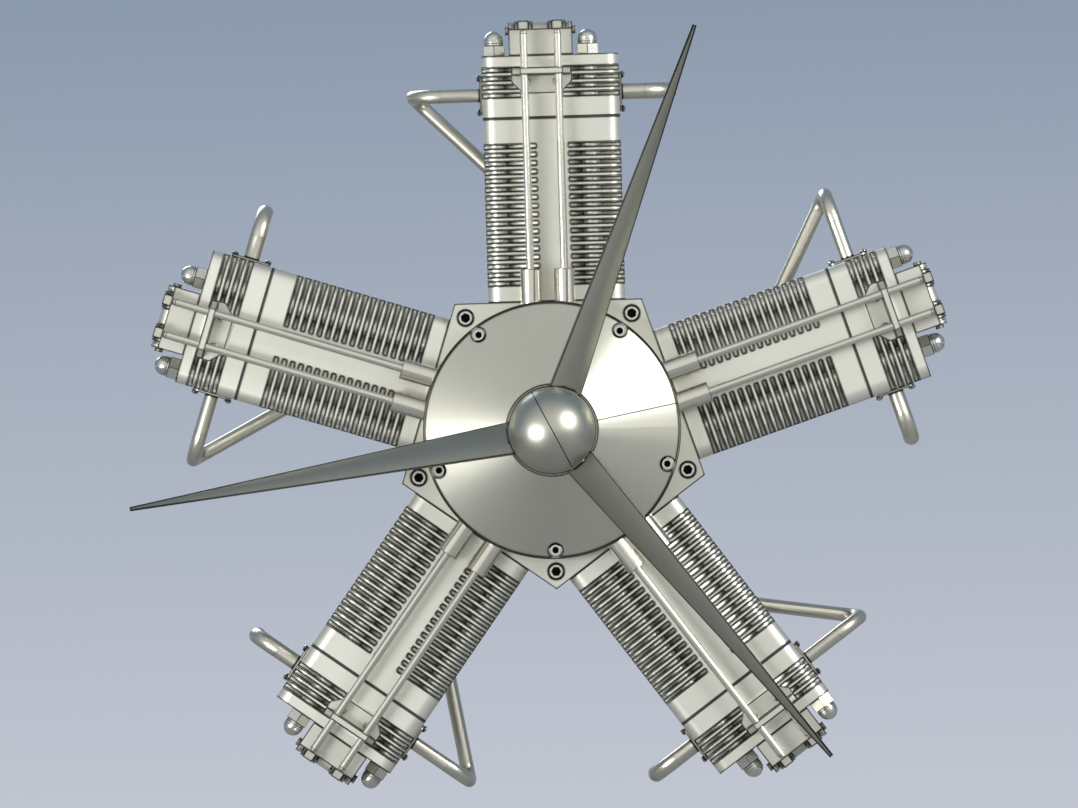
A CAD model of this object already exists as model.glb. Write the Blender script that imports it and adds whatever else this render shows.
"""Finishes, light and camera for a five-cylinder radial engine with a propeller."""

import math

import bpy
from bpy.props import FloatProperty, FloatVectorProperty, PointerProperty
from bpy.types import Operator, Panel, PropertyGroup
from mathutils import Matrix, Vector

bl_info = {
    "name": "Radial Engine Dresser",
    "version": (1, 0, 0),
    "blender": (4, 5, 0),
    "location": "View3D > Sidebar > Radial Engine",
    "description": "Gives a packed radial engine its finishes, light and camera",
    "category": "Object",
}

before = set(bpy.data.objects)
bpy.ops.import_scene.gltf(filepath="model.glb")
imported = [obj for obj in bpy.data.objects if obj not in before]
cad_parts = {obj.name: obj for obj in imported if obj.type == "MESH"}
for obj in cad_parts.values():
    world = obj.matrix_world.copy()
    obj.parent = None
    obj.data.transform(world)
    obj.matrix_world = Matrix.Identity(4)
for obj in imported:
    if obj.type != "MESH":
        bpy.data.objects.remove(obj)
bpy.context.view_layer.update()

MM = 0.001
CYLINDERS = 5
STEP = 2 * math.pi / CYLINDERS
SIDES = ("intake", "exhaust")

# Heights of the head gasket along a cylinder, in millimetres
GASKET_FOOT, GASKET_TOP = 156.1, 157.17
# Where a spark plug's axis starts, in millimetres, and its lean in degrees
PLUG_DEPTH, PLUG_HEIGHT, PLUG_TILT = 48.0, 159.5, 65.0
# Stretch of that axis that the glazed insulator covers, in millimetres
GLAZE_FROM, GLAZE_TO = 32.8, 42.8

# Clouding of the finishes: its size in millimetres, and how much it darkens them
CLOUD_MM = 18.0
CLOUD_DARKENING = 0.066
# How far from an edge its dark line is felt: on large pieces, and on small round ones
EDGE_MM, SMALL_EDGE_MM = 1.8, 0.8
# How well a face agrees with its rounded self where that line starts, and where it is full
EDGE_START, EDGE_FULL = 0.985, 0.94
# How far around a place is searched for walls that hide it from the light, in millimetres
RECESS_MM = 3.5
# Width over which a painted band fades out, to each side, in millimetres
BAND_FADE_MM = 0.05
# Half the width of a scribed mark: of the whole of it, and of its darkest part
SCRIBE_MM, SCRIBE_CORE_MM = 0.3, 0.2
# Scribed marks on the nose cover and the domed nut, clockwise from the top
COVER_MARK, DOME_MARK = math.radians(79.5), math.radians(-26.7)

# Oil and old polish that stay in corners and along edges
OILY = "0B0B0A"
# Bare metal between sawn fins
SAWN = "F4F4EC"
# Graphite gasket
GRAPHITE = "2A2A28"

# Sockets of a colour mix: its factor, the colour under and the colour over, and its result
FACTOR, UNDER, OVER, MIXED = 0, 6, 7, 2

# Half the floor's width, in metres, and how much the camera sees it lifted
FLOOR_HALF = 2.0
FLOOR_LIFT = 0.3
# Slope above and below eye level over which the backdrop is graded
HORIZON = 0.015
# Strength of the room's soft light, from the front and from behind
ROOM_FRONT, ROOM_BACK = 0.62, 0.45
# The point that the lamps face, in metres
LAMP_AIM = (0.0, -0.08, 0.0)

# The photograph's frame: its size and the crank axis in pixels, and millimetres per pixel
PHOTO_W, PHOTO_H = 1078, 808
AXIS_PX = (552.0, 430.0)
PHOTO_MM = 0.5
# Depth of the plane where that scale holds, in metres
FRONT_PLANE = -0.101
SENSOR_MM = 36.0


def each(kind):
    """Names of the nodes of one kind of valve gear, ten in all."""
    return [f"{kind}_{side}_{i}" for side in SIDES for i in range(1, CYLINDERS + 1)]


def linear(code):
    """An sRGB hex colour such as BEBEB4 as linear red, green, blue and 1."""
    parts = [int(code[k : k + 2], 16) / 255 for k in (0, 2, 4)]
    return tuple(
        c / 12.92 if c <= 0.04045 else ((c + 0.055) / 1.055) ** 2.4 for c in parts
    ) + (1.0,)


def add(tree, kind, inputs=None, **settings):
    """Adds a node with its settings; each input is a value or the socket that feeds it."""
    node = tree.nodes.new(kind)
    for name, value in settings.items():
        setattr(node, name, value)
    for name, value in (inputs or {}).items():
        socket = node.inputs[name]
        if isinstance(value, bpy.types.NodeSocket):
            tree.links.new(value, socket)
        else:
            socket.default_value = value
    return node


def new_surface(name):
    """A material with an empty tree, its shader and its output."""
    material = bpy.data.materials.new(name)
    material.use_nodes = True
    tree = material.node_tree
    tree.nodes.clear()
    shader = add(tree, "ShaderNodeBsdfPrincipled")
    add(tree, "ShaderNodeOutputMaterial", {"Surface": shader.outputs["BSDF"]})
    return material, tree, shader


def height_along_cylinder(tree, point):
    """Height of the point along the cylinder that it is nearest to, in metres."""
    highest = None
    for i in range(CYLINDERS):
        direction = (math.sin(i * STEP), 0.0, math.cos(i * STEP))
        height = add(
            tree, "ShaderNodeVectorMath", {0: point, 1: direction}, operation="DOT_PRODUCT"
        ).outputs["Value"]
        if highest is None:
            highest = height
        else:
            highest = add(
                tree, "ShaderNodeMath", {0: highest, 1: height}, operation="MAXIMUM"
            ).outputs[0]
    return highest


def distance_along_plug(tree, point):
    """Distance of the point along the spark plug that it is nearest to, in metres."""
    tilt = math.radians(PLUG_TILT)
    split = add(tree, "ShaderNodeSeparateXYZ", {"Vector": point})
    back = add(
        tree,
        "ShaderNodeMath",
        {0: split.outputs["Y"], 1: PLUG_DEPTH * MM},
        operation="ADD",
    ).outputs[0]
    out = add(
        tree,
        "ShaderNodeMath",
        {0: height_along_cylinder(tree, point), 1: PLUG_HEIGHT * MM},
        operation="SUBTRACT",
    ).outputs[0]
    back = add(
        tree, "ShaderNodeMath", {0: back, 1: math.sin(tilt)}, operation="MULTIPLY"
    ).outputs[0]
    return add(
        tree,
        "ShaderNodeMath",
        {0: out, 1: math.cos(tilt), 2: back},
        operation="MULTIPLY_ADD",
    ).outputs[0]


def turned_rings(tree, point, pitch):
    """A wave that goes up and down once a pitch, outwards from the crank axis."""
    flat = add(
        tree, "ShaderNodeVectorMath", {0: point, 1: (1.0, 0.0, 1.0)}, operation="MULTIPLY"
    ).outputs["Vector"]
    radius = add(tree, "ShaderNodeVectorMath", {0: flat}, operation="LENGTH").outputs["Value"]
    turns = add(
        tree, "ShaderNodeMath", {0: radius, 1: 2 * math.pi / pitch}, operation="MULTIPLY"
    ).outputs[0]
    return add(tree, "ShaderNodeMath", {0: turns}, operation="SINE").outputs[0]


def band(tree, value, low, high):
    """1 where value lies between low and high, in metres, and 0 outside."""
    fade = BAND_FADE_MM * MM
    up, down = (
        add(
            tree,
            "ShaderNodeMapRange",
            {"Value": value, "From Min": limit - fade, "From Max": limit + fade},
        ).outputs["Result"]
        for limit in (low, high)
    )
    return add(tree, "ShaderNodeMath", {0: up, 1: down}, operation="SUBTRACT").outputs[0]


def scribed(tree, point, angle, one_sided):
    """1 on a fine straight line that crosses the crank axis, at an angle from the top."""
    along = (math.sin(angle), 0.0, math.cos(angle))
    across = (math.cos(angle), 0.0, -math.sin(angle))
    off = add(
        tree, "ShaderNodeVectorMath", {0: point, 1: across}, operation="DOT_PRODUCT"
    ).outputs["Value"]
    off = add(tree, "ShaderNodeMath", {0: off}, operation="ABSOLUTE").outputs[0]
    line = add(
        tree,
        "ShaderNodeMapRange",
        {"Value": off, "From Min": SCRIBE_MM * MM, "From Max": SCRIBE_CORE_MM * MM},
    ).outputs["Result"]
    if not one_sided:
        return line
    side = add(
        tree, "ShaderNodeVectorMath", {0: point, 1: along}, operation="DOT_PRODUCT"
    ).outputs["Value"]
    ahead = add(tree, "ShaderNodeMath", {0: side, 1: 0.0}, operation="GREATER_THAN").outputs[0]
    return add(tree, "ShaderNodeMath", {0: line, 1: ahead}, operation="MULTIPLY").outputs[0]


def edge_line(tree, width, strength):
    """Up to strength along the edges of the piece, over width metres; 0 on open faces."""
    rounded = add(tree, "ShaderNodeBevel", {"Radius": width}, samples=8).outputs["Normal"]
    plain = add(tree, "ShaderNodeNewGeometry").outputs["Normal"]
    same = add(
        tree, "ShaderNodeVectorMath", {0: rounded, 1: plain}, operation="DOT_PRODUCT"
    ).outputs["Value"]
    return add(
        tree,
        "ShaderNodeMapRange",
        {"Value": same, "From Min": EDGE_START, "From Max": EDGE_FULL, "To Max": strength},
    ).outputs["Result"]


def metal(
    name,
    tint,
    roughness,
    metallic=1.0,
    scatter=0.02,
    grain=None,
    edge=0.95,
    edge_mm=EDGE_MM,
    recess=None,
    lathe=None,
    drawn=None,
):
    """A metal surface: clouded tint, a dark line along its edges, grain and tool marks.

    scatter: how far its roughness wanders to each side
    grain: size and height of its grain, in millimetres
    edge, edge_mm: strength of the line along its edges, and how far from them it is felt
    recess: how open a place is where another colour starts, how open it is where that is
        full, how much of it there is then, and the colour
    lathe: pitch and depth of rings round the crank axis, in millimetres
    drawn: pitch and depth of marks across a rod, in millimetres
    """
    material, tree, shader = new_surface(name)
    shader.inputs["Metallic"].default_value = metallic
    point = add(tree, "ShaderNodeTexCoord").outputs["Object"]
    clouds = add(
        tree, "ShaderNodeTexNoise", {"Vector": point, "Scale": 1 / (CLOUD_MM * MM), "Detail": 3.0}
    ).outputs["Fac"]
    clean = tuple(tint) + (1.0,)
    clouded = tuple(c * (1 - CLOUD_DARKENING) for c in tint) + (1.0,)
    base = add(
        tree, "ShaderNodeMix", {FACTOR: clouds, UNDER: clean, OVER: clouded}, data_type="RGBA"
    ).outputs[MIXED]
    if recess:
        near, far, most, inside = recess
        openness = add(
            tree, "ShaderNodeAmbientOcclusion", {"Distance": RECESS_MM * MM}, samples=8
        ).outputs["AO"]
        hidden = add(
            tree,
            "ShaderNodeMapRange",
            {"Value": openness, "From Min": near, "From Max": far, "To Max": most},
        ).outputs["Result"]
        base = add(
            tree,
            "ShaderNodeMix",
            {FACTOR: hidden, UNDER: base, OVER: linear(inside)},
            data_type="RGBA",
        ).outputs[MIXED]
    line = edge_line(tree, edge_mm * MM, edge)
    base = add(
        tree, "ShaderNodeMix", {FACTOR: line, UNDER: base, OVER: linear(OILY)}, data_type="RGBA"
    ).outputs[MIXED]
    tree.links.new(base, shader.inputs["Base Color"])

    size, height = grain or (CLOUD_MM, 0.0)
    fine = add(
        tree, "ShaderNodeTexNoise", {"Vector": point, "Scale": 1 / (size * MM), "Detail": 2.0}
    ).outputs["Fac"]
    wandering = add(
        tree,
        "ShaderNodeMapRange",
        {"Value": fine, "To Min": roughness - scatter, "To Max": roughness + scatter},
    ).outputs["Result"]
    tree.links.new(wandering, shader.inputs["Roughness"])

    reliefs = []
    if grain:
        reliefs.append((fine, height))
    if lathe:
        pitch, depth = lathe
        reliefs.append((turned_rings(tree, point, pitch * MM), depth))
    if drawn:
        pitch, depth = drawn
        marks = add(
            tree,
            "ShaderNodeTexNoise",
            {"W": height_along_cylinder(tree, point), "Scale": 1 / (pitch * MM), "Detail": 2.0},
            noise_dimensions="1D",
        ).outputs["Fac"]
        reliefs.append((marks, depth))
    # Each relief stands on the one before it
    normal = None
    for relief, depth in reliefs:
        inputs = {"Height": relief, "Distance": depth * MM, "Strength": 1.0}
        if normal:
            inputs["Normal"] = normal
        normal = add(tree, "ShaderNodeBump", inputs).outputs["Normal"]
    if normal:
        tree.links.new(normal, shader.inputs["Normal"])
    return material, tree, shader


def repaint(tree, shader, mask, tint, metallic=None, roughness=None):
    """Paints another finish over a surface where mask is 1."""
    under = shader.inputs["Base Color"].links[0].from_socket
    colour = add(
        tree, "ShaderNodeMix", {FACTOR: mask, UNDER: under, OVER: tint}, data_type="RGBA"
    ).outputs[MIXED]
    tree.links.new(colour, shader.inputs["Base Color"])
    if metallic is not None:
        before = shader.inputs["Metallic"].default_value
        shine = add(
            tree, "ShaderNodeMapRange", {"Value": mask, "To Min": before, "To Max": metallic}
        ).outputs["Result"]
        tree.links.new(shine, shader.inputs["Metallic"])
    if roughness is not None:
        rough = shader.inputs["Roughness"].links[0].from_socket
        rough = add(
            tree,
            "ShaderNodeMix",
            {"Factor": mask, "A": rough, "B": roughness},
            data_type="FLOAT",
        ).outputs["Result"]
        tree.links.new(rough, shader.inputs["Roughness"])


def dress(material, names):
    """Gives CAD nodes the material in place of their own."""
    for name in names:
        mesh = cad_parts[name].data
        mesh.materials.clear()
        mesh.materials.append(material)


def colour_property(name, description, code):
    """A colour that starts at an sRGB hex value."""
    return FloatVectorProperty(
        name=name, description=description, subtype="COLOR", default=linear(code)[:3]
    )


class ENGINE_PG_finish(PropertyGroup):
    """Colours of the engine's metals."""

    casting: colour_property("Casting", "Bead-blasted crankcase and rocker boxes", "C2C2B7")
    block: colour_property("Block", "Bead-blasted barrels and heads with sawn fins", "CCCCC1")
    turned: colour_property("Turned", "Turned nose cover and pistons", "CBCABB")
    steel: colour_property("Steel", "Ground pushrods, valves, guides and crank train", "D8D5C8")
    forging: colour_property("Forging", "Machined rockers", "C4C4BA")
    spring: colour_property("Spring", "Blued valve springs", "5A5C60")
    tube: colour_property("Tube", "Intake and exhaust pipes", "CCCABC")
    plating: colour_property("Plating", "Nuts, screws and plug bodies", "D4D4CB")
    glaze: colour_property("Glaze", "Insulators of the spark plugs", "EDEBE4")
    dome: colour_property("Dome", "Propeller hub and its domed nut", "B4B4A7")
    blade: colour_property("Blade", "Propeller blades", "A6A699")


class ENGINE_PG_stage(PropertyGroup):
    """Floor, lamps and camera."""

    floor_drop: FloatProperty(
        name="Floor drop",
        description="Height of the floor below the crank axis",
        default=0.24,
        unit="LENGTH",
    )
    lens: FloatProperty(
        name="Lens",
        description="Focal length of the camera, long enough for a straight view",
        default=900.0,
        unit="CAMERA",
    )
    roll: FloatProperty(
        name="Roll",
        description="Lean of the engine in the picture, counter-clockwise",
        default=math.radians(1.7),
        subtype="ANGLE",
    )
    key_power: FloatProperty(
        name="Key power",
        description="Power of the lamp at the upper right",
        default=10.5,
        unit="POWER",
    )
    fill_power: FloatProperty(
        name="Fill power",
        description="Power of the lamp at the left",
        default=15.0,
        unit="POWER",
    )
    rear_power: FloatProperty(
        name="Rear power",
        description="Power of the lamp behind the engine",
        default=6.0,
        unit="POWER",
    )


class ENGINE_OT_castings(Operator):
    """Finish the crankcase, covers, barrels, heads and rocker boxes"""

    bl_idname = "engine.castings"
    bl_label = "Castings"

    def execute(self, context):
        colours = context.scene.engine_finish
        # Bead-blasted cast aluminium: pale warm grey, a fine even grain and a soft sheen
        blast = dict(metallic=0.75, roughness=0.42, scatter=0.03, grain=(0.9, 0.006))
        blasted, _, _ = metal("blasted_cast_aluminium", colours.casting, **blast)
        dress(blasted, ["crankcase", "rear_cover", "rocker_boxes"])
        # The gaps between the fins are sawn after the blasting, which leaves them bright
        blast["recess"] = (0.85, 0.45, 0.9, SAWN)
        barrels, _, _ = metal("blasted_barrel_with_sawn_fins", colours.block, **blast)
        dress(barrels, ["cylinder_barrels"])
        heads, tree, shader = metal("blasted_head_with_sawn_fins", colours.block, **blast)
        # Graphite gasket between barrel and head: a dark, dull line
        point = add(tree, "ShaderNodeTexCoord").outputs["Object"]
        height = height_along_cylinder(tree, point)
        gasket = band(tree, height, GASKET_FOOT * MM, GASKET_TOP * MM)
        repaint(tree, shader, gasket, linear(GRAPHITE), metallic=0.0, roughness=0.7)
        dress(heads, ["cylinder_heads"])
        # Turned aluminium: fine rings left by the tool, and a scribed timing mark
        turned, tree, shader = metal(
            "turned_aluminium", colours.turned, roughness=0.3, scatter=0.01, lathe=(1.1, 0.001)
        )
        point = add(tree, "ShaderNodeTexCoord").outputs["Object"]
        mark = scribed(tree, point, COVER_MARK, one_sided=True)
        repaint(tree, shader, mark, linear(OILY))
        dress(turned, ["nose_cover"])
        return {"FINISHED"}


class ENGINE_OT_valve_gear(Operator):
    """Finish the pushrods, guides, rockers, valves and springs"""

    bl_idname = "engine.valve_gear"
    bl_label = "Valve gear"

    def execute(self, context):
        colours = context.scene.engine_finish
        # Ground steel: bright, with faint marks across each rod
        ground, _, _ = metal(
            "ground_steel",
            colours.steel,
            roughness=0.2,
            edge_mm=SMALL_EDGE_MM,
            drawn=(0.9, 0.001),
        )
        dress(ground, each("pushrod") + each("valve") + ["tappet_guides"])
        # Forged steel, machined all over: duller than the rods, with a soft ripple
        forged, _, _ = metal(
            "machined_forged_steel", colours.forging, roughness=0.3, grain=(0.8, 0.006)
        )
        dress(forged, each("rocker"))
        # Spring wire blued in the furnace: dark, cool and slightly shiny
        sprung, _, _ = metal("blued_spring_steel", colours.spring, roughness=0.3, edge=0.2)
        dress(sprung, ["valve_springs"])
        return {"FINISHED"}


class ENGINE_OT_crank_train(Operator):
    """Finish the crankshaft, rods, pistons, cam ring and bearings"""

    bl_idname = "engine.crank_train"
    bl_label = "Crank train"

    def execute(self, context):
        colours = context.scene.engine_finish
        # Turned and ground steel with a film of oil
        steel, _, _ = metal("turned_steel", colours.steel, roughness=0.25, grain=(1.0, 0.004))
        names = ["crankshaft", "cam_ring", "cam_idler", "main_bearings", "master_rod"]
        names += [f"link_rod_{i}" for i in range(2, CYLINDERS + 1)]
        dress(steel, names)
        # Turned aluminium-silicon piston: paler than steel, with fine tool rings
        piston, _, _ = metal(
            "turned_piston_alloy", colours.turned, roughness=0.3, drawn=(0.5, 0.002)
        )
        dress(piston, [f"piston_{i}" for i in range(1, CYLINDERS + 1)])
        return {"FINISHED"}


class ENGINE_OT_pipes(Operator):
    """Finish the intake and exhaust pipes"""

    bl_idname = "engine.pipes"
    bl_label = "Pipes"

    def execute(self, context):
        colours = context.scene.engine_finish
        # Bent steel tube, satin nickel plated: smooth, with a soft even shine
        tube, _, _ = metal("nickelled_steel_tube", colours.tube, roughness=0.31)
        dress(tube, ["intake_pipes", "exhaust_pipes"])
        return {"FINISHED"}


class ENGINE_OT_fasteners(Operator):
    """Finish the nuts, screws and spark plugs"""

    bl_idname = "engine.fasteners"
    bl_label = "Fasteners and plugs"

    def execute(self, context):
        colours = context.scene.engine_finish
        # Zinc-plated steel: the brightest metal here, clean and smooth
        zinc, _, _ = metal(
            "zinc_plated_steel", colours.plating, roughness=0.2, edge_mm=SMALL_EDGE_MM
        )
        dress(zinc, ["head_nuts"])
        # Socket screws: bright plated heads whose sockets stay black
        socket, _, _ = metal(
            "plated_socket_screw",
            colours.plating,
            roughness=0.24,
            edge_mm=SMALL_EDGE_MM,
            recess=(0.9, 0.6, 1.0, OILY),
        )
        dress(socket, ["cap_screws"])
        plug, tree, shader = metal("nickelled_plug_steel", colours.plating, roughness=0.22)
        # Glazed alumina insulator: white and glossy, with no metal in it
        point = add(tree, "ShaderNodeTexCoord").outputs["Object"]
        along = distance_along_plug(tree, point)
        insulator = band(tree, along, GLAZE_FROM * MM, GLAZE_TO * MM)
        glaze = tuple(colours.glaze) + (1.0,)
        repaint(tree, shader, insulator, glaze, metallic=0.0, roughness=0.12)
        dress(plug, ["spark_plugs"])
        return {"FINISHED"}


class ENGINE_OT_propeller(Operator):
    """Finish the propeller's blades, hub and domed nut"""

    bl_idname = "engine.propeller"
    bl_label = "Propeller"

    def execute(self, context):
        colours = context.scene.engine_finish
        # Polished aluminium: smooth and round in its shine, with a scribed mark
        hub, _, _ = metal("polished_aluminium", colours.dome, roughness=0.34)
        dress(hub, ["propeller_hub"])
        dome, tree, shader = metal("polished_dome_aluminium", colours.dome, roughness=0.34)
        point = add(tree, "ShaderNodeTexCoord").outputs["Object"]
        mark = scribed(tree, point, DOME_MARK, one_sided=False)
        repaint(tree, shader, mark, linear(OILY))
        dress(dome, ["spinner_nut"])
        # Satin blade alloy: filed and linished, so duller than the hub
        blade, _, _ = metal(
            "satin_blade_alloy", colours.blade, roughness=0.36, grain=(1.2, 0.003)
        )
        dress(blade, ["propeller_blades"])
        return {"FINISHED"}


class ENGINE_OT_stage(Operator):
    """Build the floor, the lamps, the surroundings and the camera"""

    bl_idname = "engine.stage"
    bl_label = "Stage"

    def execute(self, context):
        scene = context.scene
        self.build_floor(scene)
        self.build_world(scene)
        self.build_lamps(scene)
        self.build_camera(scene)
        scene.view_settings.view_transform = "Standard"
        return {"FINISHED"}

    def build_floor(self, scene):
        drop = scene.engine_stage.floor_drop
        mesh = bpy.data.meshes.new("studio_floor")
        corners = [(-1, -1), (1, -1), (1, 1), (-1, 1)]
        points = [(x * FLOOR_HALF, y * FLOOR_HALF, -drop) for x, y in corners]
        mesh.from_pydata(points, [], [(0, 1, 2, 3)])
        floor = bpy.data.objects.new("studio_floor", mesh)
        scene.collection.objects.link(floor)
        # Matt pale grey paint, lifted a little for the camera, so that it stays pale far off
        material, tree, shader = new_surface("painted_studio_floor")
        shader.inputs["Base Color"].default_value = linear("A0A4AA")
        shader.inputs["Roughness"].default_value = 0.9
        shader.inputs["Emission Color"].default_value = linear("D8DCE2")
        seen = add(tree, "ShaderNodeLightPath").outputs["Is Camera Ray"]
        lift = add(
            tree, "ShaderNodeMath", {0: seen, 1: FLOOR_LIFT}, operation="MULTIPLY"
        ).outputs[0]
        tree.links.new(lift, shader.inputs["Emission Strength"])
        mesh.materials.append(material)

    def build_world(self, scene):
        world = bpy.data.worlds.new("studio_surroundings")
        scene.world = world
        world.use_nodes = True
        tree = world.node_tree
        tree.nodes.clear()
        direction = add(tree, "ShaderNodeTexCoord").outputs["Generated"]
        split = add(tree, "ShaderNodeSeparateXYZ", {"Vector": direction})
        depth = split.outputs["Y"]
        # White wall in front; behind, blue-grey that pales downwards just round eye level
        height = add(
            tree,
            "ShaderNodeMapRange",
            {"Value": split.outputs["Z"], "From Min": -HORIZON, "From Max": HORIZON},
        ).outputs["Result"]
        graded = add(
            tree,
            "ShaderNodeMix",
            {FACTOR: height, UNDER: linear("C1C6D1"), OVER: linear("8C9AAD")},
            data_type="RGBA",
        ).outputs[MIXED]
        behind = add(
            tree, "ShaderNodeMapRange", {"Value": depth, "From Min": -0.8, "From Max": 0.1}
        ).outputs["Result"]
        wall = add(
            tree,
            "ShaderNodeMix",
            {FACTOR: behind, UNDER: linear("F4F4F2"), OVER: graded},
            data_type="RGBA",
        ).outputs[MIXED]
        backdrop = add(
            tree, "ShaderNodeBackground", {"Color": wall, "Strength": 1.0}
        ).outputs[0]
        # The room's soft light comes mostly from the front, so that it reaches between the fins
        strength = add(
            tree,
            "ShaderNodeMapRange",
            {
                "Value": depth,
                "From Min": -1.0,
                "From Max": 0.2,
                "To Min": ROOM_FRONT,
                "To Max": ROOM_BACK,
            },
        ).outputs["Result"]
        room = add(
            tree, "ShaderNodeBackground", {"Color": linear("F2F2F0"), "Strength": strength}
        ).outputs[0]
        # The camera, reflections and see-through pieces get the wall, all else the room
        rays = add(tree, "ShaderNodeLightPath")
        seen = rays.outputs["Is Camera Ray"]
        for kind in ("Is Glossy Ray", "Is Transmission Ray"):
            seen = add(
                tree, "ShaderNodeMath", {0: seen, 1: rays.outputs[kind]}, operation="MAXIMUM"
            ).outputs[0]
        blend = add(tree, "ShaderNodeMixShader", {0: seen, 1: room, 2: backdrop}).outputs[0]
        add(tree, "ShaderNodeOutputWorld", {"Surface": blend})

    def build_lamps(self, scene):
        stage = scene.engine_stage
        # Name, place in metres, width in metres and power
        lamps = (
            ("key_lamp", (0.82, -0.86, 0.48), 0.55, stage.key_power),
            ("fill_lamp", (-0.78, -0.98, -0.17), 0.5, stage.fill_power),
            ("rear_lamp", (-0.5, 1.2, 0.8), 0.8, stage.rear_power),
        )
        for name, spot, size, power in lamps:
            light = bpy.data.lights.new(name, "AREA")
            light.shape = "DISK"
            light.size = size
            light.energy = power
            lamp = bpy.data.objects.new(name, light)
            scene.collection.objects.link(lamp)
            lamp.location = spot
            aim = Vector(LAMP_AIM) - Vector(spot)
            lamp.rotation_euler = aim.to_track_quat("-Z", "Y").to_euler()

    def build_camera(self, scene):
        stage = scene.engine_stage
        data = bpy.data.cameras.new("photo_camera")
        data.lens = stage.lens
        data.sensor_width = SENSOR_MM
        data.clip_start = 0.1
        data.clip_end = 60.0
        camera = bpy.data.objects.new("photo_camera", data)
        scene.collection.objects.link(camera)
        distance = PHOTO_W * PHOTO_MM * MM * stage.lens / SENSOR_MM
        right = (PHOTO_W / 2 - AXIS_PX[0]) * PHOTO_MM * MM
        up = (AXIS_PX[1] - PHOTO_H / 2) * PHOTO_MM * MM
        turn = Matrix.Rotation(stage.roll, 4, "Y")
        centre = turn @ Vector((right, 0.0, up))
        spot = Vector((centre.x, FRONT_PLANE - distance, centre.z))
        upright = Matrix.Rotation(math.radians(90), 4, "X")
        camera.matrix_world = Matrix.Translation(spot) @ turn @ upright
        scene.camera = camera


class ENGINE_PT_dresser(Panel):
    """Buttons for each group of pieces and for the stage"""

    bl_label = "Radial Engine"
    bl_space_type = "VIEW_3D"
    bl_region_type = "UI"
    bl_category = "Radial Engine"

    def draw(self, context):
        for operator in OPERATORS:
            self.layout.operator(operator.bl_idname)
        for group in (context.scene.engine_finish, context.scene.engine_stage):
            for name in group.__annotations__:
                self.layout.prop(group, name)


OPERATORS = (
    ENGINE_OT_castings,
    ENGINE_OT_valve_gear,
    ENGINE_OT_crank_train,
    ENGINE_OT_pipes,
    ENGINE_OT_fasteners,
    ENGINE_OT_propeller,
    ENGINE_OT_stage,
)
CLASSES = (ENGINE_PG_finish, ENGINE_PG_stage) + OPERATORS + (ENGINE_PT_dresser,)


def register():
    for cls in CLASSES:
        bpy.utils.register_class(cls)
    bpy.types.Scene.engine_finish = PointerProperty(type=ENGINE_PG_finish)
    bpy.types.Scene.engine_stage = PointerProperty(type=ENGINE_PG_stage)


def unregister():
    del bpy.types.Scene.engine_stage
    del bpy.types.Scene.engine_finish
    for cls in reversed(CLASSES):
        bpy.utils.unregister_class(cls)


def main():
    register()
    bpy.ops.engine.castings()
    bpy.ops.engine.valve_gear()
    bpy.ops.engine.crank_train()
    bpy.ops.engine.pipes()
    bpy.ops.engine.fasteners()
    bpy.ops.engine.propeller()
    bpy.ops.engine.stage()


if __name__ == "__main__":
    main()
